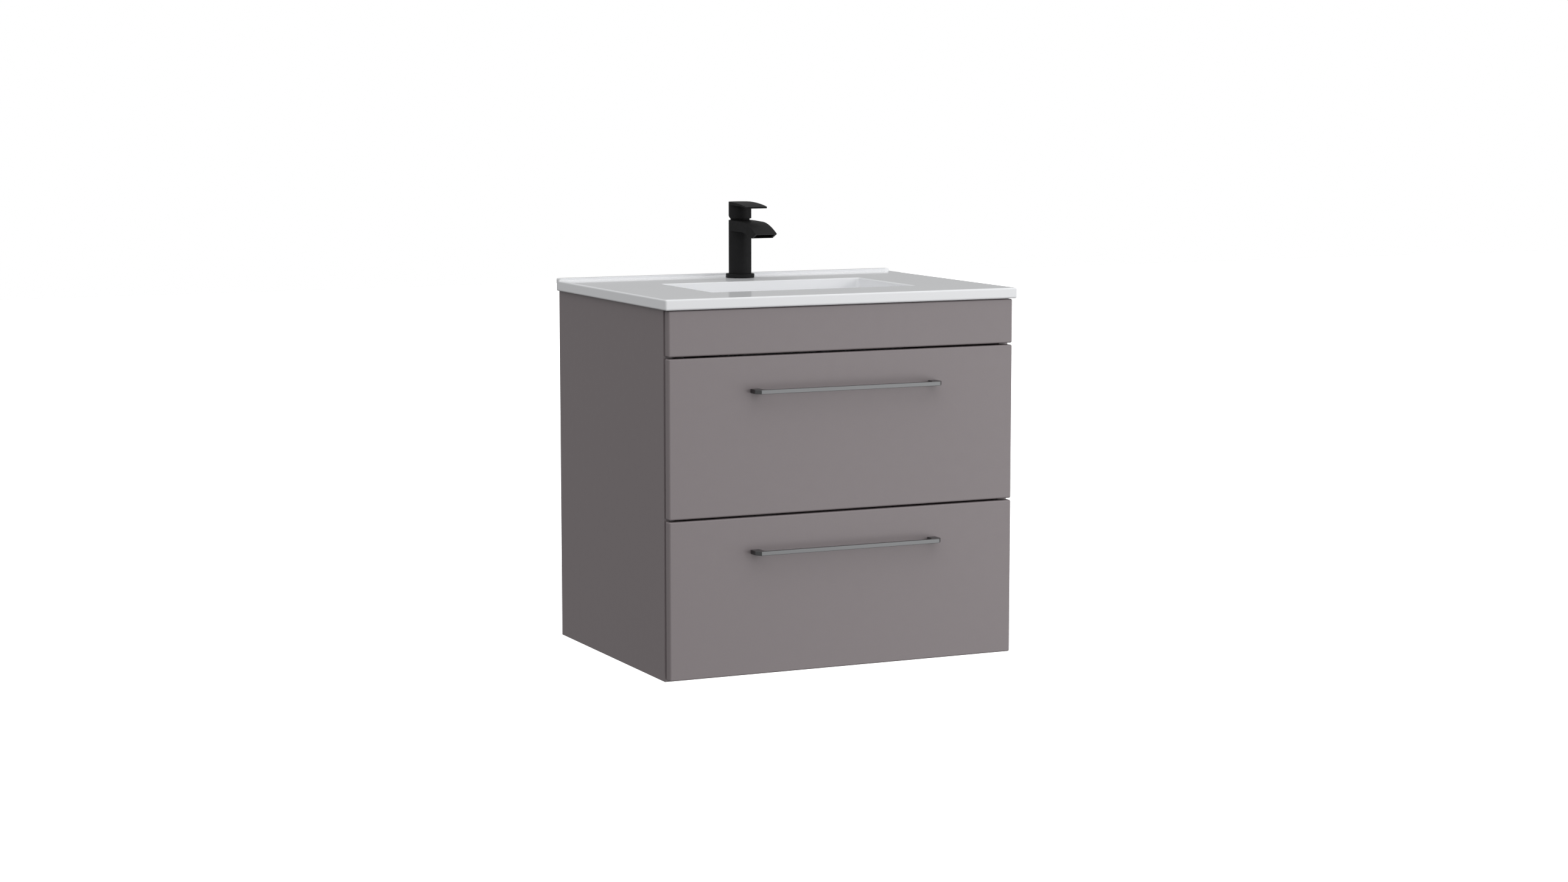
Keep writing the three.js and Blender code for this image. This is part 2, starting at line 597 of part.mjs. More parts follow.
// A shallow cap with a spigot that plugs into the overflow hole.
function overflowCap() {
  const { radius, face, top, shoulder, seat, short } = OVERFLOW_CAP;
  const wallY = BOWL_BACK_Y - OVERFLOW.below * BOWL_SLOPE;
  const spigot = OVERFLOW.radius - FIT;
  const end = OVERFLOW_END_Y - short;
  const profile = [
    [0, wallY - top], [face, wallY - top], [radius, wallY - shoulder], [radius, wallY - seat],
    [spigot, wallY - seat], [spigot, end], [0, end],
  ];
  return turnedAlongY(profile, 0, DECK_Z - OVERFLOW.below, 24);
}

function wasteBody() {
  const { flange, tube: outer, bore, bottom, chamfer } = WASTE;
  const seat = BOWL_FLOOR_Z + FIT;
  const profile = [
    [bore, bottom], [outer, bottom], [outer, seat], [flange, seat],
    [flange - chamfer, WASTE_TOP_Z], [bore, WASTE_TOP_Z], [bore, bottom],
  ];
  const acrossBore = [-bore - PAST, bore + PAST];
  const bridge = box(acrossBore, [BOWL_Y - BRIDGE.halfWidth, BOWL_Y + BRIDGE.halfWidth], BRIDGE.z);
  const guide = post(PLUG.stem + FIT, [BRIDGE.z[0] - PAST, BRIDGE.z[1] + PAST], PLACE_OF_WASTE, 16);
  return join(turned(profile, PLACE_OF_WASTE), cut(bridge, guide));
}

function wastePlug() {
  const { radius, stem, stemLength, edge, dome, domeRadius, height } = PLUG;
  const bottom = WASTE_TOP_Z + FIT;
  const profile = [
    [0, bottom - stemLength], [stem, bottom - stemLength], [stem, bottom], [radius, bottom],
    [radius, bottom + edge], [domeRadius, bottom + dome], [0, bottom + height],
  ];
  return turned(profile, PLACE_OF_WASTE);
}

function trapBottle() {
  const { radius, wall, bottom, shoulder, slope, collar, top } = TRAP;
  const throat = WASTE.tube + FIT;
  const bore = radius - wall;
  const profile = [
    [0, bottom], [radius, bottom], [radius, shoulder], [collar, shoulder + slope],
    [collar, top], [throat, top], [throat, shoulder],
    [bore, shoulder - wall], [bore, bottom + wall], [0, bottom + wall],
  ];
  const outlet = rod(PIPE.radius - PIPE.wall, [BOWL_Y, PIPE_START_Y + PAST], 0, TRAP_OUTLET_Z, 24);
  return cut(turned(profile, PLACE_OF_WASTE), outlet);
}

function outletNut() {
  const inner = PIPE.radius + FIT;
  const end = PIPE_START_Y + OUTLET_NUT.length;
  return aroundOutlet([
    [inner, PIPE_START_Y], [OUTLET_NUT.radius, PIPE_START_Y], [OUTLET_NUT.radius, end],
    [inner, end], [inner, PIPE_START_Y],
  ]);
}

function outletPipe() {
  const { radius, wall } = PIPE;
  return aroundOutlet([
    [radius - wall, PIPE_START_Y], [radius, PIPE_START_Y], [radius, WALL_Y],
    [radius - wall, WALL_Y], [radius - wall, PIPE_START_Y],
  ]);
}

function wallFlange() {
  const inner = PIPE.radius + FIT;
  const { neck, radius, length, edge } = WALL_FLANGE;
  return aroundOutlet([
    [inner, WALL_Y - length], [neck, WALL_Y - length], [radius, WALL_Y - edge], [radius, WALL_Y],
    [inner, WALL_Y], [inner, WALL_Y - length],
  ]);
}

const backnutZ = [BOWL_UNDER_Z - BACKNUT.height, BOWL_UNDER_Z - FIT];
add("overflow_cap", overflowCap(), CHROME);
add("waste_body", wasteBody(), CHROME);
add("waste_plug", wastePlug(), CHROME);
add("waste_backnut", tube(WASTE.tube + FIT, BACKNUT.radius, backnutZ, PLACE_OF_WASTE), CHROME);
add("trap_bottle", trapBottle(), WHITE_PLASTIC);
add("trap_outlet_nut", outletNut(), WHITE_PLASTIC);
add("trap_outlet_pipe", outletPipe(), WHITE_PLASTIC);
add("trap_wall_flange", wallFlange(), WHITE_PLASTIC);

// ---------------------------------------------------------------- tap

const PLACE_OF_TAP = [0, TAP_Y];
const BODY_BASE_Z = DECK_Z + TAP_RING.height;
const BODY_TOP_Z = DECK_Z + TAP_BODY_TOP;
const PIVOT_Z = DECK_Z + LEVER_PIVOT;
const DECK_UNDER_Z = CABINET_HEIGHT + RIM_RECESS;

// Points of the side outlines below: [reach in front of the tap's axis, height above the deck].
// A pull is the point towards which a curve bends.
const SPOUT = {
  root: [0, 78],
  under: { start: [48, 78.5], pull: [68, 77] },
  lip: [89, 70],
  tip: [106, 77.5],
  top: { pull: [74, 95.5], end: [46, 95.2] },
  wall: 3,
};
const DUCT = {
  mouth: [[92.2, 69.3], [103.8, 74.5], [103.1, 76.2]],
  top: { pull: [87, 86.2], end: [70, 90] },
  bottom: { start: [70, 78.5], pull: [81, 75.8], end: [91.4, 71.1] },
};
const LEVER = {
  back: [-20, 126.4],
  tipTop: [67, 120.6],
  tipBottom: [66, 117.8],
  crownPull: [30, 127.6],
  under: { height: 121, start: 40, pull: [55, 120.7] },
  hubTop: 122,
};
const HUB = { wall: 2.4, roof: 3, bevelStart: 2.5, bevelAngle: (27 * Math.PI) / 180 };
const DOME = { radius: 16.2, openingMargin: 1.5, steps: 8 };
const TURRET = { radius: 9, bottom: -2.5, top: 6, slot: 6.8 };
const STEM = { half: 3, bottom: 3 };
const STUD = { radius: 4, below: 45 };
const WASHER = { radius: TAP_WASHER_RADIUS, thickness: 3, slack: 1 };
const NUT = { radius: 7.5, bottom: -10.5, top: -4 };

// A side outline from a start and steps of one point, a straight line, or two, a curve [pull, end].
function tapOutline(start, ...steps) {
  const place = ([reach, height]) => [TAP_Y - reach, DECK_Z + height];
  const outline = new THREE.Shape();
  outline.moveTo(...place(start));
  for (const step of steps) {
    if (step.length === 1) outline.lineTo(...place(step[0]));
    else outline.quadraticCurveTo(...place(step[0]), ...place(step[1]));
  }
  return outline;
}

// The spout: a level back, a long arc down to the tip, and a slanted mouth with a water channel behind it.
function tapBody() {
  const column = post(TAP_RADIUS, [BODY_BASE_Z, BODY_TOP_Z], PLACE_OF_TAP, 48);
  const spout = tapOutline(
    [0, TAP_BODY_TOP], [SPOUT.root], [SPOUT.under.start], [SPOUT.under.pull, SPOUT.lip],
    [SPOUT.tip], [SPOUT.top.pull, SPOUT.top.end], [[TAP_RADIUS, TAP_BODY_TOP]],
  );
  const duct = tapOutline(
    DUCT.mouth[0], [DUCT.mouth[1]], [DUCT.mouth[2]], [DUCT.top.pull, DUCT.top.end],
    [DUCT.bottom.start], [DUCT.bottom.pull, DUCT.bottom.end],
  );
  const halfDuct = TAP_RADIUS - SPOUT.wall;
  return cut(
    join(column, crosswise(spout, [-TAP_RADIUS, TAP_RADIUS], 10)),
    crosswise(duct, [-halfDuct, halfDuct], 10),
  );
}

// Plan of the lever: a round back as wide as the hub, and straight sides out to the tip.
function leverPlan() {
  const end = TAP_Y - LEVER.tipTop[0];
  const plan = new THREE.Shape();
  plan.moveTo(TAP_RADIUS, TAP_Y);
  plan.absarc(0, TAP_Y, TAP_RADIUS, 0, Math.PI, false);
  plan.lineTo(-TAP_RADIUS, end);
  plan.lineTo(TAP_RADIUS, end);
  return plan;
}

// The lever's plate with its hub, a cup over the cartridge that is bevelled at the back so it can tilt.
function tapLever() {
  const { back, tipTop, tipBottom, crownPull, under, hubTop } = LEVER;
  const hubTopZ = DECK_Z + hubTop;
  const side = tapOutline(
    back, [[back[0], under.height]], [[under.start, under.height]], [under.pull, tipBottom],
    [tipTop], [crownPull, back],
  );
  const plate = crosswise(side, [-TAP_RADIUS, TAP_RADIUS], 10);
  const hub = post(TAP_RADIUS, [PIVOT_Z, hubTopZ], PLACE_OF_TAP, 48);
  const footprint = upright(leverPlan(), [PIVOT_Z, hubTopZ + HUB.roof * 2], 24);
  const blank = solid(join(hub, plate)).intersect(solid(footprint));

  const hollow = post(TAP_RADIUS - HUB.wall, [PIVOT_Z - PAST, hubTopZ - HUB.roof], PLACE_OF_TAP);
  const reach = 3 * TAP_RADIUS;
  const bevel = box([-reach, reach], [0, reach], [-reach, 0]);
  bevel.rotateX(HUB.bevelAngle).translate(0, TAP_Y - HUB.bevelStart, PIVOT_Z);
  const stem = box(
    [-STEM.half, STEM.half],
    [TAP_Y - STEM.half, TAP_Y + STEM.half],
    [PIVOT_Z + STEM.bottom, hubTopZ - PAST],
  );
  return join(cut(geometryOf(blank), hollow, bevel), stem);
}

// The fixed cap nut over the cartridge: a slice of a ball about the lever's pivot.
function capNut() {
  const { radius, openingMargin, steps } = DOME;
  const bottom = BODY_TOP_Z + FIT;
  const opening = TURRET.radius + FIT;
  const lowAngle = Math.asin((bottom - PIVOT_Z) / radius);
  const highAngle = Math.acos((TURRET.radius + openingMargin) / radius);
  const profile = [[opening, bottom]];
  for (let step = 0; step <= steps; step += 1) {
    const angle = lowAngle + ((highAngle - lowAngle) * step) / steps;
    profile.push([radius * Math.cos(angle), PIVOT_Z + radius * Math.sin(angle)]);
  }
  profile.push([opening, PIVOT_Z + radius * Math.sin(highAngle)], profile[0]);
  return turned(profile, PLACE_OF_TAP);
}

// The part that turns with the lever. Its slot takes the lever's stem and lets it tilt.
function cartridgeTurret() {
  const { radius, bottom, top, slot } = TURRET;
  const plug = post(radius, [PIVOT_Z + bottom, PIVOT_Z + top], PLACE_OF_TAP, 24);
  const opening = box(
    [-slot / 2, slot / 2],
    [TAP_Y - radius - PAST, TAP_Y + radius + PAST],
    [PIVOT_Z - 1, PIVOT_Z + top + PAST],
  );
  return cut(plug, opening);
}

// A slotted washer, open to one side so that it can be slid on past the stud.
function horseshoeWasher() {
  const { radius, thickness, slack } = WASHER;
  const z = DECK_UNDER_Z - FIT - thickness;
  const half = STUD.radius + slack;
  const disc = post(radius, [z, z + thickness], PLACE_OF_TAP);
  const slot = box([-half, half], [TAP_Y - half, TAP_Y + radius + PAST], [z - PAST, z + thickness + PAST]);
  return cut(disc, slot);
}

function hexNut() {
  const [z0, z1] = [DECK_UNDER_Z + NUT.bottom, DECK_UNDER_Z + NUT.top];
  const thread = post(STUD.radius + FIT, [z0 - PAST, z1 + PAST], PLACE_OF_TAP, 16);
  return cut(post(NUT.radius, [z0, z1], PLACE_OF_TAP, 6), thread);
}

const ringZ = [DECK_Z + FIT, BODY_BASE_Z - FIT];
const studZ = [DECK_UNDER_Z - STUD.below, BODY_BASE_Z - FIT];
add("tap_base_ring", tube(STUD.radius + 1, TAP_RING.radius, ringZ, PLACE_OF_TAP, 48), BLACK_METAL);
add("tap_body", tapBody(), BLACK_METAL);
add("tap_cap_nut", capNut(), BLACK_METAL);
add("tap_turret", cartridgeTurret(), BLACK_METAL);
add("tap_lever", tapLever(), BLACK_METAL);
add("tap_fixing_stud", post(STUD.radius, studZ, PLACE_OF_TAP, 16), ZINC);
add("tap_fixing_washer", horseshoeWasher(), ZINC);
add("tap_fixing_nut", hexNut(), ZINC);

export default vanity;
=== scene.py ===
"""Looks of a wall-hung bathroom vanity cabinet.

Lacquered boards, a glazed basin, a matt black tap, metal and plastic fittings. Lengths are written in
millimetres times MM; Blender's unit is the metre. Every place comes from the CAD frame.
"""

import functools
import json
import math

import bmesh
import bpy
from mathutils import Matrix, Vector

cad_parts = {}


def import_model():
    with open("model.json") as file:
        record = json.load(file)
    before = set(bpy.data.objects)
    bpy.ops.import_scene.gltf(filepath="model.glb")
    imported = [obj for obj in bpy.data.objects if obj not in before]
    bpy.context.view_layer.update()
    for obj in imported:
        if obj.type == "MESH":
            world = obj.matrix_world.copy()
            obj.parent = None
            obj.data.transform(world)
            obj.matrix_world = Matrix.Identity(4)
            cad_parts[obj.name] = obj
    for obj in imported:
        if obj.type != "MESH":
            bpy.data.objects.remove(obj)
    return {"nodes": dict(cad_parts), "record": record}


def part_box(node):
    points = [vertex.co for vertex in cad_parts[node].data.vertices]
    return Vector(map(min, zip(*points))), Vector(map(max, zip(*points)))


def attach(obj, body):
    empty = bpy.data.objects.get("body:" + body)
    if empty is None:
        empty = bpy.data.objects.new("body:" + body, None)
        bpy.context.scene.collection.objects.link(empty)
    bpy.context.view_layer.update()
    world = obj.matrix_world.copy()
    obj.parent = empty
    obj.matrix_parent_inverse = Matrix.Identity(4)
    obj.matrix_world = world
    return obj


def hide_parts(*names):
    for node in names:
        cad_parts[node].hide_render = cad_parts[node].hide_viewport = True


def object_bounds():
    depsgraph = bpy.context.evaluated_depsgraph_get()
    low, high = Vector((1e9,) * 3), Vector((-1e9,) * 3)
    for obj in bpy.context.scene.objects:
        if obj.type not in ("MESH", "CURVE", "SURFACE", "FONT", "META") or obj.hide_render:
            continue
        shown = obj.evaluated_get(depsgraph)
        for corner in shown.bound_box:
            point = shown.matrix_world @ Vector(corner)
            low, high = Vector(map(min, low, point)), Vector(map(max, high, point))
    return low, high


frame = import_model()
cad_low, cad_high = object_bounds()

MM = 0.001
SIDES = ("left", "right")
LEVELS = ("lower", "upper")

# ---------------------------------------------------------------- look

LACQUER = (0.233, 0.203, 0.210)
LACQUER_SHADE = (0.227, 0.198, 0.205)
BOX_BOARD = (0.56, 0.545, 0.52)
BOX_BOARD_SHADE = (0.44, 0.43, 0.41)
CERAMIC = (0.848, 0.857, 0.874)
BLACK = (0.0170, 0.0170, 0.0176)
BLACK_SHADE = (0.0150, 0.0150, 0.0155)
GUNMETAL = (0.152, 0.155, 0.158)
GUNMETAL_SHADE = (0.135, 0.136, 0.138)
ZINC = (0.56, 0.57, 0.58)
ZINC_SHADE = (0.40, 0.41, 0.42)
CHROME = (0.78, 0.79, 0.80)
WHITE_PLASTIC = (0.74, 0.74, 0.72)
GREY_PLASTIC = (0.23, 0.225, 0.225)

# Edge radii
FRONT_EDGE = 2.4 * MM  # drawer fronts and fascia
CARCASS_EDGE = 0.8 * MM
BOX_EDGE = 0.6 * MM  # drawer boxes
MOULDED_EDGE = 0.8 * MM  # plastic fittings
PANEL_EDGE = 0.4 * MM  # boards and sheets with holes
PRESSED_EDGE = 0.3 * MM  # hooks, plates and screws
CHANNEL_EDGE = 0.25 * MM

# ---------------------------------------------------------------- materials


class Finish:
    """A procedural material: a Principled shader with helpers for what feeds it."""

    def __init__(self, name, colour, metallic=0.0, coat=0.0, coat_roughness=0.05, specular=0.5):
        self.material = bpy.data.materials.new(name)
        self.material.use_nodes = True
        self.tree = self.material.node_tree
        self.shader = self.tree.nodes["Principled BSDF"]
        self.place = self.node("ShaderNodeTexCoord").outputs["Object"]
        self.colour = (*colour, 1)
        self.set(self.shader, "Base Color", self.colour)
        self.set(self.shader, "Metallic", metallic)
        self.set(self.shader, "Coat Weight", coat)
        self.set(self.shader, "Coat Roughness", coat_roughness)
        self.set(self.shader, "Specular IOR Level", specular)

    @staticmethod
    def set(node, socket, value):
        node.inputs[socket].default_value = value

    def node(self, kind):
        return self.tree.nodes.new(kind)

    def link(self, output, node, socket):
        self.tree.links.new(output, node.inputs[socket])

    def stretched(self, scale):
        """Object coordinates in which a pattern runs scale times per metre along each axis."""
        mapping = self.node("ShaderNodeMapping")
        self.set(mapping, "Scale", scale)
        self.link(self.place, mapping, "Vector")
        return mapping.outputs["Vector"]

    def noise(self, per_metre, detail=3.0, place=None):
        noise = self.node("ShaderNodeTexNoise")
        self.set(noise, "Scale", per_metre)
        self.set(noise, "Detail", detail)
        self.set(noise, "Roughness", 0.55)
        self.link(place or self.place, noise, "Vector")
        return noise.outputs["Fac"]

    def spots(self, per_metre):
        cells = self.node("ShaderNodeTexVoronoi")
        self.set(cells, "Scale", per_metre)
        self.link(self.place, cells, "Vector")
        return cells.outputs["Color"]

    def ramp(self, value, low, high, at=(0.3, 0.7)):
        """low to high as value goes between the two stops."""
        ramp = self.node("ShaderNodeMapRange")
        for socket, number in zip(("From Min", "From Max", "To Min", "To Max"), (*at, low, high)):
            self.set(ramp, socket, number)
        self.link(value, ramp, "Value")
        return ramp.outputs["Result"]

    def tint(self, value, shade, at=(0.3, 0.7)):
        """From the shade to the finish's own colour as value goes between the two stops."""
        mix = self.node("ShaderNodeMix")
        mix.data_type = "RGBA"
        for socket, colour in (("A", (*shade, 1)), ("B", self.colour)):
            found = next(i for i in mix.inputs if i.name == socket and i.type == "RGBA")
            found.default_value = colour
        self.link(self.ramp(value, 0.0, 1.0, at), mix, 0)
        result = next(o for o in mix.outputs if o.type == "RGBA")
        self.link(result, self.shader, "Base Color")

    def roughness(self, value, low, high):
        self.link(self.ramp(value, low, high), self.shader, "Roughness")

    def bump(self, value, depth, strength):
        """Relief of the given depth in metres."""
        bump = self.node("ShaderNodeBump")
        self.set(bump, "Distance", depth)
        self.set(bump, "Strength", strength)
        self.link(value, bump, "Height")
        self.link(bump.outputs["Normal"], self.shader, "Normal")


def lacquer():
    finish = Finish("matt_lacquer", LACQUER, specular=0.6)
    finish.tint(finish.noise(400), LACQUER_SHADE)
    finish.roughness(finish.noise(60), 0.44, 0.48)
    finish.bump(finish.noise(900, detail=2), 0.01 * MM, 0.25)
    return finish.material


def box_board():
    """Pale laminate with a fine woven look."""
    finish = Finish("laminated_board", BOX_BOARD)
    finish.set(finish.shader, "Roughness", 0.55)
    across = finish.noise(1, detail=2, place=finish.stretched((1400, 60, 60)))
    along = finish.noise(1, detail=2, place=finish.stretched((60, 1400, 1400)))
    weave = finish.node("ShaderNodeMath")
    weave.operation = "MULTIPLY"
    finish.link(across, weave, 0)
    finish.link(along, weave, 1)
    thread = weave.outputs["Value"]
    finish.tint(thread, BOX_BOARD_SHADE, at=(0.12, 0.34))
    finish.bump(thread, 0.05 * MM, 0.5)
    return finish.material


def ceramic():
    """White body under a clear glaze: the coat alone makes the reflections."""
    finish = Finish("white_glaze", CERAMIC, coat=0.8, coat_roughness=0.09, specular=0.0)
    finish.tint(finish.noise(9, detail=4), tuple(0.992 * c for c in CERAMIC))
    finish.roughness(finish.noise(6, detail=1), 0.25, 0.35)
    return finish.material


def black_metal():
    finish = Finish("matt_black", BLACK, specular=0.06)
    finish.tint(finish.noise(90, detail=4), BLACK_SHADE)
    finish.roughness(finish.noise(240), 0.38, 0.48)
    finish.bump(finish.noise(2600, detail=2), 0.012 * MM, 0.5)
    return finish.material


def gunmetal():
    """Dark metal brushed along the handles."""
    finish = Finish("gunmetal", GUNMETAL, metallic=1.0)
    brushed = finish.noise(1, place=finish.stretched((30, 2600, 2600)))
    finish.tint(brushed, GUNMETAL_SHADE, at=(0.2, 0.6))
    finish.roughness(brushed, 0.3, 0.36)
    finish.bump(brushed, 0.002 * MM, 0.3)
    return finish.material


def zinc():
    """Plated steel with the patchy grains of a zinc coat."""
    finish = Finish("zinc_plate", ZINC, metallic=1.0)
    finish.tint(finish.spots(160), ZINC_SHADE, at=(0.0, 1.0))
    finish.roughness(finish.noise(300), 0.28, 0.42)
    finish.bump(finish.noise(900), 0.01 * MM, 0.4)
    return finish.material


def chrome():
    finish = Finish("chrome_plate", CHROME, metallic=1.0)
    finish.roughness(finish.noise(45, detail=4), 0.04, 0.12)
    finish.bump(finish.noise(60, detail=1), 0.02 * MM, 0.2)
    return finish.material


def plastic(name, colour):
    finish = Finish(name, colour)
    finish.tint(finish.noise(14, detail=4), tuple(0.96 * c for c in colour))
    finish.roughness(finish.noise(120), 0.34, 0.46)
    finish.bump(finish.noise(2200, detail=2), 0.02 * MM, 0.5)
    return finish.material


MATERIALS = {
    "lacquer": lacquer(),
    "box_board": box_board(),
    "ceramic": ceramic(),
    "tap_black": black_metal(),
    "handle_metal": gunmetal(),
    "zinc_steel": zinc(),
    "chrome_plate": chrome(),
    "white_plastic": plastic("white_plastic", WHITE_PLASTIC),
    "grey_plastic": plastic("grey_plastic", GREY_PLASTIC),
}
SLOT_OF = {part["node"]: part["material_slot"] for part in frame["record"]["subparts"]}
BODY_OF = {node: body for body, nodes in frame["record"]["behaviour"]["bodies"].items() for node in nodes}

# ---------------------------------------------------------------- outlines


def arc(centre, radius, start, end, steps):
    """Points on an arc, angles in degrees."""
    turns = (math.radians(start + (end - start) * i / steps) for i in range(steps + 1))
    return [(centre[0] + radius * math.cos(t), centre[1] + radius * math.sin(t)) for t in turns]


def curve(start, pull, end, steps):
    """Points on a quadratic curve."""
    shares = (i / steps for i in range(steps + 1))
    return [
        tuple((1 - t) ** 2 * a + 2 * t * (1 - t) * b + t * t * c for a, b, c in zip(start, pull, end))
        for t in shares
    ]


def fillet(before, corner, after, radius, steps):
    """The arc that rounds a corner between its two neighbours."""
    here = Vector(corner)
    back = (Vector(before) - here).normalized()
    onward = (Vector(after) - here).normalized()
    half = back.angle(onward) / 2
    centre = here + (back + onward).normalized() * (radius / math.sin(half))
    first = here + back * (radius / math.tan(half)) - centre
    last = here + onward * (radius / math.tan(half)) - centre
    sweep = math.atan2(first.x * last.y - first.y * last.x, first.dot(last))
    turns = (Matrix.Rotation(sweep * step / steps, 2) for step in range(steps + 1))
    return [tuple(centre + turn @ first) for turn in turns]


def filleted(points, steps=6):
    """A closed outline whose corners (a, b, radius) become arcs; a corner (a, b) stays sharp."""
    result = []
    for i, point in enumerate(points):
        if len(point) < 3:
            result.append(point)
        else:
            after = points[(i + 1) % len(points)]
            result += fillet(points[i - 1][:2], point[:2], after[:2], point[2], steps)
    return result


def rounded_rectangle(half_x, half_y, radius, steps):
    points = []
    for quarter, (sx, sy) in enumerate(((1, 1), (-1, 1), (-1, -1), (1, -1))):
        centre = (sx * (half_x - radius), sy * (half_y - radius))
        points += arc(centre, radius, 90 * quarter, 90 * quarter + 90, steps)
    return points


# ---------------------------------------------------------------- meshes

SHARP = math.radians(30)  # edges sharper than this are rounded
WELD = 0.001 * MM


def clean(bm):
    bmesh.ops.remove_doubles(bm, verts=bm.verts[:], dist=WELD)
    bmesh.ops.recalc_face_normals(bm, faces=bm.faces[:])


def new_object(bm, name="part"):
    clean(bm)
    mesh = bpy.data.meshes.new(name)
    bm.to_mesh(mesh)
    bm.free()
    made = bpy.data.objects.new(name, mesh)
    bpy.context.scene.collection.objects.link(made)
    return made


def round_edges(bm, radius, steps, where=lambda edge: True):
    """Rounds the sharp edges that where chooses."""
    clean(bm)
    sharp = [e for e in bm.edges if len(e.link_faces) == 2 and e.calc_face_angle() > SHARP and where(e)]
    bmesh.ops.bevel(
        bm, geom=sharp, offset=radius, segments=steps, profile=0.5, affect="EDGES", clamp_overlap=True
    )


def block(low, high, edge=0.0, steps=3):
    """A box with rounded edges."""
    bm = bmesh.new()
    bmesh.ops.create_cube(bm, size=1)
    size = Vector(high) - Vector(low)
    bmesh.ops.transform(bm, matrix=Matrix.Diagonal((*size, 1)), verts=bm.verts)
    bmesh.ops.translate(bm, vec=(Vector(low) + Vector(high)) / 2, verts=bm.verts)
    if edge:
        round_edges(bm, edge, steps)
    return bm


def lofted(rings):
    """A closed skin over rings of equally many points."""
    bm = bmesh.new()
    rows = [[bm.verts.new(point) for point in ring] for ring in rings]
    for low, high in zip(rows, rows[1:]):
        for i in range(len(low)):
            j = (i + 1) % len(low)
            bm.faces.new((low[i], low[j], high[j], high[i]))
    bm.faces.new(rows[0])
    bm.faces.new(rows[-1])
    return bm


def prism(outline, axis, span, edge=0.0):
    """An outline run along X, as (Y, Z) points, or along Z, as (X, Y) points."""
    if axis == "x":
        rings = [[(place, a, b) for a, b in outline] for place in span]
    else:
        rings = [[(a, b, place) for a, b in outline] for place in span]
    bm = lofted(rings)
    if edge:
        round_edges(bm, edge, 3)
    return bm


def turned(profile, centre, segments=96, axis="z"):
    """A profile of (radius, height) points turned about an axis through centre.

    A profile that starts on the axis also ends on it; any other closes on itself.
    """
    bm = bmesh.new()
    rings = []
    for radius, height in profile:
        ring = []
        for i in range(segments if radius > 0 else 1):
            angle = 2 * math.pi * i / segments
            ring.append(bm.verts.new((radius * math.cos(angle), radius * math.sin(angle), height)))
        rings.append(ring)
    if profile[0][0] > 0:
        rings.append(rings[0])
    for low, high in zip(rings, rings[1:]):
        for i in range(segments):
            j = (i + 1) % segments
            corners = [low[i % len(low)], low[j % len(low)], high[j % len(high)], high[i % len(high)]]
            unique = list(dict.fromkeys(corners))
            if len(unique) > 2:
                bm.faces.new(unique)
    if axis == "y":
        bmesh.ops.rotate(bm, cent=(0, 0, 0), matrix=Matrix.Rotation(-math.pi / 2, 3, "X"), verts=bm.verts)
    bmesh.ops.translate(bm, vec=centre, verts=bm.verts)
    return bm


def rod(radius, length, foot, segments=96, axis="z"):
    """A plain round bar that starts at its foot."""
    return turned([(0, 0), (radius, 0), (radius, length), (0, length)], foot, segments, axis)


def carve(target, bm, operation):
    """Joins, cuts or intersects target with another mesh."""
    tool = new_object(bm, "tool")
    modifier = target.modifiers.new("carve", "BOOLEAN")
    modifier.object, modifier.operation, modifier.solver = tool, operation, "EXACT"
    bpy.context.view_layer.update()
    evaluated = target.evaluated_get(bpy.context.evaluated_depsgraph_get())
    mesh = bpy.data.meshes.new_from_object(evaluated)
    target.modifiers.clear()
    target.data = mesh
    bpy.data.objects.remove(tool)


def shade(made, slot, crease=32):
    """Gives the slot's material and smooth rounds; edges that turn by more than the crease stay sharp."""
    made.data.materials.clear()
    made.data.materials.append(MATERIALS[slot])
    for polygon in made.data.polygons:
        polygon.use_smooth = True
    made.data.set_sharp_from_angle(angle=math.radians(crease))
    weighted = made.modifiers.new("flats", "WEIGHTED_NORMAL")
    weighted.keep_sharp = True
    weighted.weight = 80


def piece(name, made, stands_for, crease=32):
    """Names a mesh, gives it its finish and rides it on the body of the CAD node that it stands for."""
    made.name = name
    slot = SLOT_OF[stands_for]
    shade(made, slot, crease)
    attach(made, BODY_OF[stands_for])
    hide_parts(stands_for)


def dress(node, edge=0.0):
    """Keeps a CAD node and gives it its finish and, where it is board or sheet, softened edges."""
    made = frame["nodes"][node]
    if edge:
        bevel = made.modifiers.new("edges", "BEVEL")
        bevel.width, bevel.segments, bevel.limit_method = edge, 2, "ANGLE"
        bevel.angle_limit = math.radians(40)
    shade(made, SLOT_OF[node])


def board(node, edge, steps):
    """A rounded board in place of a plain one."""
    low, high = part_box(node)
    piece(f"{node}_finish", new_object(block(low, high, edge, steps)), node)


# ---------------------------------------------------------------- carcass, fronts and drawer boxes

for node in ("side_panel_left", "side_panel_right", "base_panel", "front_rail"):
    board(node, CARCASS_EDGE, 2)
for node in ("fascia_panel", "lower_drawer_front", "upper_drawer_front"):
    board(node, FRONT_EDGE, 5)
for node in ("back_panel", "hanging_rail", "upper_drawer_bottom"):
    dress(node, PANEL_EDGE)
for panel in ("bottom", "back"):
    board(f"lower_drawer_{panel}", BOX_EDGE, 2)
for side in SIDES:
    board(f"upper_drawer_back_{side}", BOX_EDGE, 2)
for level in LEVELS:
    for side in SIDES:
        board(f"{level}_drawer_side_{side}", BOX_EDGE, 2)
dress("upper_drawer_trap_surround", MOULDED_EDGE)

for side in SIDES:
    dress(f"hanger_housing_{side}", MOULDED_EDGE)
    dress(f"hanger_hook_{side}", PRESSED_EDGE)
    dress(f"wall_plate_{side}", PRESSED_EDGE)

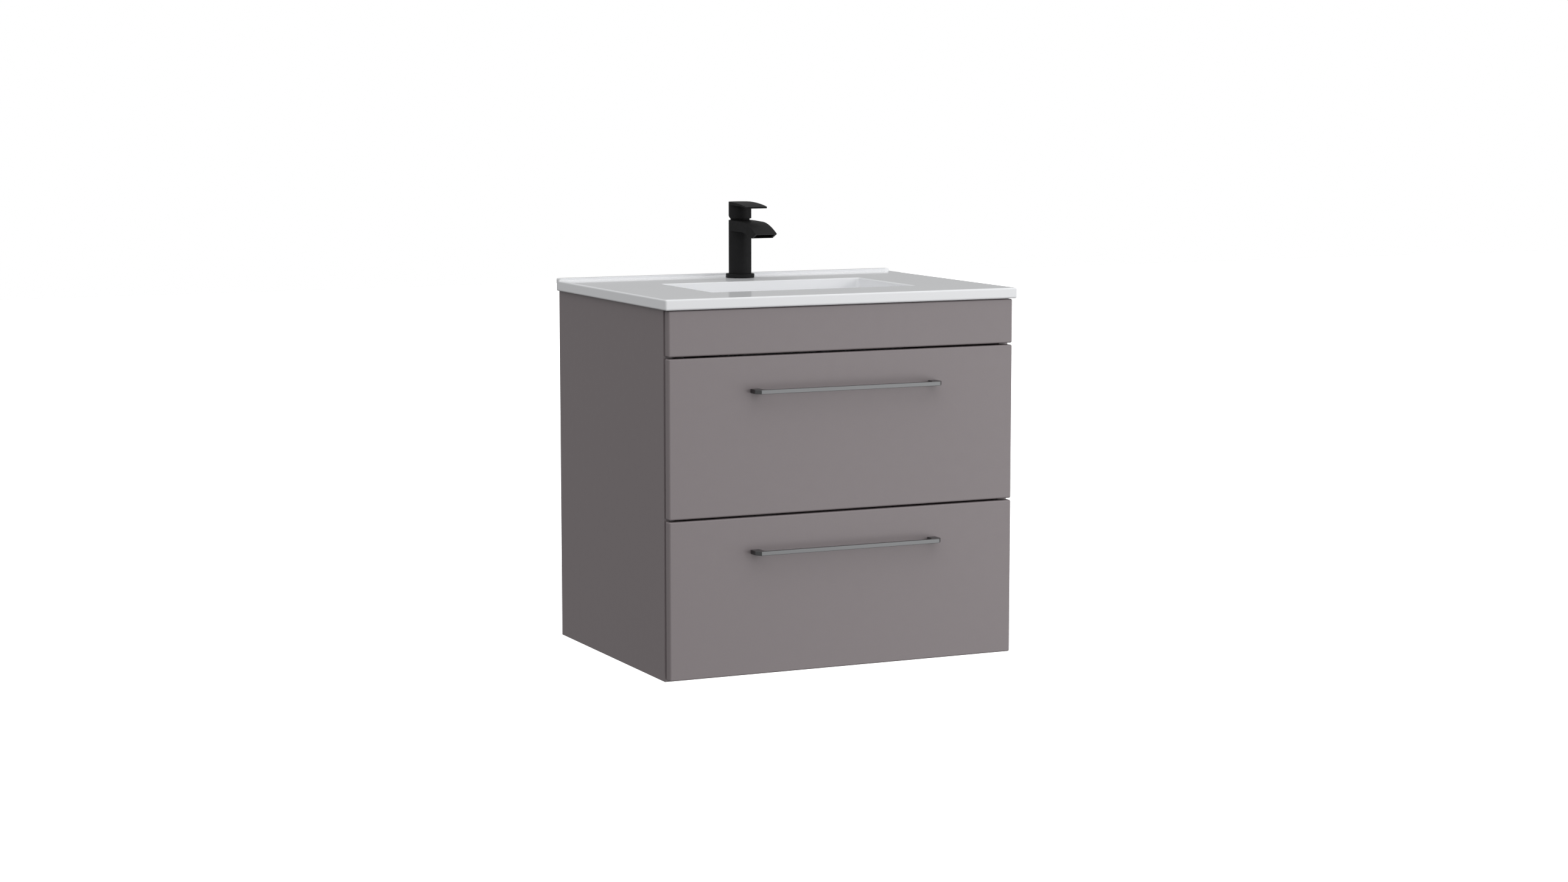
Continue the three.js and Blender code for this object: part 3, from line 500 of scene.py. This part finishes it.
for level in LEVELS:
    for side in SIDES:
        for member in ("cabinet", "middle", "drawer"):
            dress(f"{level}_runner_{side}_{member}_channel", CHANNEL_EDGE)
        dress(f"{level}_handle_screw_{side}", PRESSED_EDGE)

# ---------------------------------------------------------------- handles

HANDLE_FOOT = 15 * MM  # width of each foot
HANDLE_BAR = 6 * MM  # thickness of the bar
HANDLE_STRAIGHT = 17 * MM  # how far each foot runs straight out
HANDLE_FACE = 155 * MM  # half the length of the flat face between the angled ends
HANDLE_CORNER = 7 * MM  # inner corner radius
HANDLE_SOFT = 1.2 * MM  # outer corner radius
HANDLE_EDGE = 0.5 * MM  # radius along the strip's long edges


def handle(level):
    """A strip that leaves the front on two feet and slopes at each end to its flat face."""
    node = f"{level}_drawer_handle"
    low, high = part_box(node)
    half, root, front = high.x, high.y, low.y
    inner, back, shoulder = half - HANDLE_FOOT, front + HANDLE_BAR, root - HANDLE_STRAIGHT
    right = [
        (HANDLE_FACE, front, HANDLE_SOFT),
        (half, shoulder, HANDLE_SOFT),
        (half, root),
        (inner, root),
        (inner, back, HANDLE_CORNER),
    ]
    left = [(-x, *rest) for x, *rest in reversed(right)]
    outline = filleted(right + left)
    piece(f"{node}_finish", new_object(prism(outline, "z", (low.z, high.z), HANDLE_EDGE)), node)


for level in LEVELS:
    handle(level)

# ---------------------------------------------------------------- basin

BOWL_RIM_X = 178 * MM  # half the bowl's width at the deck
BOWL_RIM_Y = 102 * MM
BOWL_CORNER = 3 * MM
BOWL_CORNER_GROWTH = 0.3  # how much rounder the corners get with depth
BOWL_DEPTH = 110 * MM
BOWL_SLOPE = math.tan(math.radians(8))
BOWL_FOOT = 20 * MM  # radius between wall and floor
BOWL_LIP = 2.2 * MM  # radius between deck and wall
SHELL = 10 * MM
BASIN_EDGE = 2.9 * MM
UPSTAND = 4 * MM
UPSTAND_THICKNESS = 12 * MM
UPSTAND_FILLET = 1.6 * MM
UPSTAND_EDGE = 1.0 * MM
SMALLEST_EDGE = 0.02 * MM
END_ROUND = 2.6 * MM  # rounding of the left and right ends
RECESS_SIDE = 20 * MM  # solid rim around the hollow underside
RECESS_FRONT = 24 * MM
RECESS_BEHIND_TAP = 25 * MM
RECESS_DEPTH = 7 * MM
RECESS_CORNER = 3 * MM
SHELL_DROP = 2 * MM  # from the deck to the top of the bowl's shell, inside the slab
BOSS = 24 * MM  # half-width of the block around the overflow
BOSS_DROP = 8 * MM
BOSS_CORNER = 4 * MM
OVERFLOW_DROP = 42 * MM  # from the deck to the middle of the overflow hole
OVERFLOW_DEPTH = 14 * MM  # behind the bowl's wall
OVERFLOW_HOLE = 11 * MM  # radii of the three round holes
WASTE_HOLE = 23 * MM
TAP_HOLE = 17.5 * MM
SPARE = 10 * MM  # how far a cutter starts outside what it cuts
THROUGH = 40 * MM  # length of a cutter that comes out again

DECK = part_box("basin")[1].z - UPSTAND


def middle(node):
    low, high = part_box(node)
    return (low + high) / 2


TAP = middle("tap_base_ring")


def bowl_ring(centre, depth, outwards):
    """One level of the bowl: the walls lean in, turn in at the foot, and the corners open out."""
    into_foot = max(0.0, depth - (BOWL_DEPTH - BOWL_FOOT))
    foot = BOWL_FOOT - math.sqrt(max(0.0, BOWL_FOOT**2 - into_foot**2))
    into_lip = max(0.0, BOWL_LIP - depth)
    lip = 0.0 if outwards else BOWL_LIP - math.sqrt(BOWL_LIP**2 - into_lip**2)
    inset = depth * BOWL_SLOPE + foot - outwards - 0.97 * lip
    radius = BOWL_CORNER + depth * BOWL_CORNER_GROWTH + outwards
    outline = rounded_rectangle(BOWL_RIM_X - inset, BOWL_RIM_Y - inset, radius, 10)
    return [(centre.x + x, centre.y + y, DECK - depth - outwards) for x, y in outline]


def bowl(centre, outwards, lid):
    """The bowl's space, or with a thickness outwards its shell, filled up to the lid."""
    foot = [BOWL_DEPTH - BOWL_FOOT * (1 - math.sin(math.radians(a))) for a in range(90, -1, -9)]
    walls = [share * BOWL_DEPTH for share in (0.6, 0.35, 0.12)]
    lip = [BOWL_LIP * (1 - math.sin(math.radians(a))) for a in range(0, 91, 15)]
    rings = [bowl_ring(centre, depth, outwards) for depth in foot + walls + lip]
    rings.append([(x, y, lid) for x, y, _ in rings[-1]])
    return lofted(rings)


def slab_section(low, high, under, x, inset):
    """Side view of the slab and its upstand at one place across, all drawn in by the inset."""
    front, back = low.y + inset, high.y - inset
    bottom, top, crest = under + inset, DECK - inset, high.z - inset
    face = high.y - UPSTAND_THICKNESS + inset
    edge = max(BASIN_EDGE - inset, SMALLEST_EDGE)
    crest_edge = max(UPSTAND_EDGE - inset, SMALLEST_EDGE)
    corners = [
        (front, bottom, edge),
        (front, top, edge),
        (face, top, UPSTAND_FILLET + inset),
        (face, crest, crest_edge),
        (back, crest, crest_edge),
        (back, bottom, edge),
    ]
    return [(x, y, z) for y, z in filleted(corners)]


def slab(low, high, under):
    """The rim with its upstand; both ends are rounded over like the front edge."""
    turns = [math.radians(15 * i) for i in range(7)]
    ends = [(END_ROUND * (1 - math.sin(t)), END_ROUND * (1 - math.cos(t))) for t in turns]
    left = [slab_section(low, high, under, low.x + along, inset) for along, inset in reversed(ends)]
    right = [slab_section(low, high, under, high.x - along, inset) for along, inset in ends]
    return lofted(left + right)


def basin():
    low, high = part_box("basin")
    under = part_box("front_rail")[1].z
    centre = middle("waste_plug")
    made = new_object(slab(low, high, under))
    recess_low = (low.x + RECESS_SIDE, low.y + RECESS_FRONT, under - SPARE)
    recess_high = (high.x - RECESS_SIDE, TAP.y + RECESS_BEHIND_TAP, under + RECESS_DEPTH)
    carve(made, block(recess_low, recess_high, RECESS_CORNER), "DIFFERENCE")
    carve(made, bowl(centre, SHELL, DECK - SHELL_DROP), "UNION")
    wall = centre.y + BOWL_RIM_Y
    overflow = DECK - OVERFLOW_DROP
    boss_low = (-BOSS, wall - SHELL, overflow - BOSS)
    carve(made, block(boss_low, (BOSS, wall + BOSS, DECK - BOSS_DROP), BOSS_CORNER), "UNION")
    carve(made, bowl(centre, 0.0, DECK + SPARE), "DIFFERENCE")
    overflow_foot = (0, wall - BOSS, overflow)
    carve(made, rod(OVERFLOW_HOLE, BOSS + OVERFLOW_DEPTH, overflow_foot, 48, "y"), "DIFFERENCE")
    carve(made, rod(WASTE_HOLE, THROUGH, (centre.x, centre.y, low.z - SPARE), 64), "DIFFERENCE")
    carve(made, rod(TAP_HOLE, THROUGH, (TAP.x, TAP.y, under - SPARE), 64), "DIFFERENCE")
    piece("basin_glazed", made, "basin", crease=40)


basin()

# ---------------------------------------------------------------- waste and trap

for node in ("overflow_cap", "waste_body", "waste_plug", "waste_backnut"):
    dress(node)
for node in ("trap_bottle", "trap_outlet_nut", "trap_outlet_pipe", "trap_wall_flange"):
    dress(node)

# ---------------------------------------------------------------- tap

TAP_RADIUS = 19 * MM
DUCT_WALL = 3 * MM
HUB_HOLLOW = 16.6 * MM  # radius of the lever hub's inside
HUB_HOLLOW_TOP = 26 * MM
HUB_EDGE = 0.4 * MM
HUB_SLOPE = math.radians(27)  # behind its start the hub's lower edge slopes up, so that the lever can tip
HUB_SLOPE_START = 2.5 * MM  # in front of the axis
HUB_WEDGE = 60 * MM  # large enough to cut right through the hub
RING_EDGE = 0.8 * MM
RING_FOOT_EDGE = 0.3 * MM
RING_BORE = 6 * MM

# Side views: reach from the tap's axis and height over the deck, in millimetres
COLUMN_FOOT = 7
COLUMN_TOP = 78
SPOUT_TOP = curve((106, 77.5), (74, 95.5), (46, 95.2), 24)
SPOUT_UNDER = curve((46, 78.5), (68, 77), (89, 70), 16)
SPOUT = [(-20, 96), (-20, COLUMN_TOP), *SPOUT_UNDER, *SPOUT_TOP, (19, 96)]
DUCT_TOP = curve((103.1, 76.2), (87, 86.2), (70, 90), 12)
DUCT_UNDER = curve((70, 78.5), (81, 75.8), (91.4, 71.1), 8)
DUCT = [(92.2, 69.3), (103.8, 74.5), *DUCT_TOP, *DUCT_UNDER]
HUB_TOP = 121
LEVER_TOP = curve((66.9, 120.6), (30, 127.5), (-20, 126.4), 28)
LEVER_UNDER = curve((40, HUB_TOP), (55, 120.7), (66, 117.8), 8)
LEVER = [(-20, HUB_TOP), *LEVER_UNDER, *LEVER_TOP]


def side_prism(points, half):
    """A side view run across the tap."""
    outline = [(TAP.y - reach * MM, DECK + height * MM) for reach, height in points]
    return prism(outline, "x", (-half, half))


def arm(reach, bottom, top, side_view, edge, soft_above):
    """A flat arm with a round back, cut to its side view; only the edges over a height are softened."""
    back = arc((TAP.x, TAP.y), TAP_RADIUS, 0, 180, 48)
    tip = TAP.y - reach * MM
    plan = [*back, (TAP.x - TAP_RADIUS, tip), (TAP.x + TAP_RADIUS, tip)]
    made = new_object(prism(plan, "z", (DECK + bottom * MM, DECK + top * MM)))
    carve(made, side_prism(side_view, TAP_RADIUS + MM), "INTERSECT")
    limit = DECK + soft_above * MM
    bm = bmesh.new()
    bm.from_mesh(made.data)
    round_edges(bm, edge, 3, lambda e: (e.verts[0].co.z + e.verts[1].co.z) / 2 > limit)
    bm.to_mesh(made.data)
    bm.free()
    return made


def tap_body():
    made = arm(reach=110, bottom=60, top=96, side_view=SPOUT, edge=0.45 * MM, soft_above=79.5)
    length = (COLUMN_TOP - COLUMN_FOOT) * MM
    carve(made, rod(TAP_RADIUS, length, (TAP.x, TAP.y, DECK + COLUMN_FOOT * MM)), "UNION")
    carve(made, side_prism(DUCT, TAP_RADIUS - DUCT_WALL), "DIFFERENCE")
    piece("tap_body_finish", made, "tap_body")


def tap_lever():
    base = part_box("tap_lever")[0].z
    made = arm(reach=70, bottom=110, top=130, side_view=LEVER, edge=0.35 * MM, soft_above=118.5)
    height = DECK + HUB_TOP * MM - base
    hub = filleted([(0, 0), (TAP_RADIUS, 0, HUB_EDGE), (TAP_RADIUS, height), (0, height)], steps=4)
    carve(made, turned(hub, (TAP.x, TAP.y, base)), "UNION")
    carve(made, rod(HUB_HOLLOW, HUB_HOLLOW_TOP + SPARE, (TAP.x, TAP.y, base - SPARE), 64), "DIFFERENCE")
    wedge = block((-HUB_WEDGE, 0, -HUB_WEDGE), (HUB_WEDGE, HUB_WEDGE, 0))
    bmesh.ops.rotate(wedge, cent=(0, 0, 0), matrix=Matrix.Rotation(HUB_SLOPE, 3, "X"), verts=wedge.verts)
    bmesh.ops.translate(wedge, vec=(TAP.x, TAP.y - HUB_SLOPE_START, base), verts=wedge.verts)
    carve(made, wedge, "DIFFERENCE")
    piece("tap_lever_finish", made, "tap_lever")


def tap_ring():
    low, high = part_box("tap_base_ring")
    radius, height = high.x - TAP.x, high.z - low.z
    corners = [
        (RING_BORE, 0),
        (radius, 0, RING_FOOT_EDGE),
        (radius, height, RING_EDGE),
        (RING_BORE, height),
    ]
    profile = filleted(corners, steps=5)
    piece("tap_base_ring_finish", new_object(turned(profile, (TAP.x, TAP.y, low.z))), "tap_base_ring")


tap_body()
tap_lever()
tap_ring()
for node in ("tap_cap_nut", "tap_turret", "tap_fixing_stud", "tap_fixing_washer", "tap_fixing_nut"):
    dress(node)

# ---------------------------------------------------------------- stage, light and camera

WHITE = (1, 1, 1, 1)
FLOOR_DROP = 0.30
FLOOR_SIZE = 12.0
FLOOR_GLOW = 0.75
GLOWS = (
    # towards, cosine at which it has faded out, strength, how it fades
    ((0, 0, 1), -1, 0.442, "LINEAR"),  # the sky
    ((0, -1, 0), -1, 0.186, "LINEAR"),  # the room in front
    ((0.1, -0.3, 0.95), 0.5, 0.789, "SMOOTHSTEP"),  # a soft patch overhead
    ((-0.75, 0.05, 0.66), 0.5, 0.435, "SMOOTHSTEP"),  # a soft patch high at the left
)
KEY_PLACE = (2.6, -2.55, 0.36)
KEY_SIZE = (4.6, 2.8)
KEY_POWER = 70.0
CAMERA_PLACE = (-2.1193, -4.5373, 0.9515)
CAMERA_AZIMUTH = math.radians(25)
CAMERA_PITCH = math.radians(-6.982)
CAMERA_LENS = 71.0


def floor():
    """A pale floor that glows a little, so that no edge or shadow of it shows."""
    material = bpy.data.materials.new("pale_floor")
    material.use_nodes = True
    shader = material.node_tree.nodes["Principled BSDF"]
    shader.inputs["Base Color"].default_value = (0.9, 0.9, 0.9, 1)
    shader.inputs["Roughness"].default_value = 0.9
    shader.inputs["Emission Color"].default_value = WHITE
    shader.inputs["Emission Strength"].default_value = FLOOR_GLOW
    bm = bmesh.new()
    bmesh.ops.create_grid(bm, x_segments=4, y_segments=4, size=FLOOR_SIZE)
    bmesh.ops.translate(bm, vec=(0, 0, -FLOOR_DROP), verts=bm.verts)
    made = new_object(bm, "floor")
    made.data.materials.append(material)
    made.visible_diffuse = False
    made.visible_glossy = False
    made.visible_shadow = False


def world():
    """Pale surroundings that light the cabinet; the camera sees plain white behind it."""
    made = bpy.data.worlds.new("studio")
    bpy.context.scene.world = made
    made.use_nodes = True
    nodes, links = made.node_tree.nodes, made.node_tree.links
    direction = nodes.new("ShaderNodeTexCoord").outputs["Generated"]

    def glow(towards, end, strength, fade):
        """Light from one direction that has faded out where the cosine off it falls to end."""
        cosine = nodes.new("ShaderNodeVectorMath")
        cosine.operation = "DOT_PRODUCT"
        cosine.inputs[1].default_value = towards
        links.new(direction, cosine.inputs[0])
        share = nodes.new("ShaderNodeMapRange")
        share.interpolation_type = fade
        share.inputs["From Min"].default_value = end
        share.inputs["To Max"].default_value = strength
        links.new(cosine.outputs["Value"], share.inputs["Value"])
        return share.outputs["Result"]

    def total(first, second):
        plus = nodes.new("ShaderNodeMath")
        plus.operation = "ADD"
        links.new(first, plus.inputs[0])
        links.new(second, plus.inputs[1])
        return plus.outputs["Value"]

    strength = functools.reduce(total, [glow(*values) for values in GLOWS])
    surroundings = nodes.new("ShaderNodeBackground")
    surroundings.inputs["Color"].default_value = WHITE
    links.new(strength, surroundings.inputs["Strength"])
    backdrop = nodes["Background"]
    backdrop.inputs["Color"].default_value = WHITE
    choose = nodes.new("ShaderNodeMixShader")
    links.new(nodes.new("ShaderNodeLightPath").outputs["Is Camera Ray"], choose.inputs["Fac"])
    links.new(surroundings.outputs["Background"], choose.inputs[1])
    links.new(backdrop.outputs["Background"], choose.inputs[2])
    links.new(choose.outputs["Shader"], nodes["World Output"].inputs["Surface"])


def stand(name, data, place, forward):
    """Puts a light or a camera at a place and points it forward."""
    made = bpy.data.objects.new(name, data)
    bpy.context.scene.collection.objects.link(made)
    made.location = place
    made.rotation_mode = "QUATERNION"
    made.rotation_quaternion = forward.to_track_quat("-Z", "Y")
    return made


def key_light(aim):
    light = bpy.data.lights.new("key", "AREA")
    light.shape, light.energy = "RECTANGLE", KEY_POWER
    light.size, light.size_y = KEY_SIZE
    stand("key", light, KEY_PLACE, Vector(aim) - Vector(KEY_PLACE))


def camera():
    data = bpy.data.cameras.new("camera")
    data.lens, data.sensor_width = CAMERA_LENS, 36
    level = math.cos(CAMERA_PITCH)
    forward = (math.sin(CAMERA_AZIMUTH) * level, math.cos(CAMERA_AZIMUTH) * level, math.sin(CAMERA_PITCH))
    bpy.context.scene.camera = stand("camera", data, CAMERA_PLACE, Vector(forward))


floor()
world()
key_light((cad_low + cad_high) / 2)
camera()
bpy.context.scene.view_settings.view_transform = "Standard"
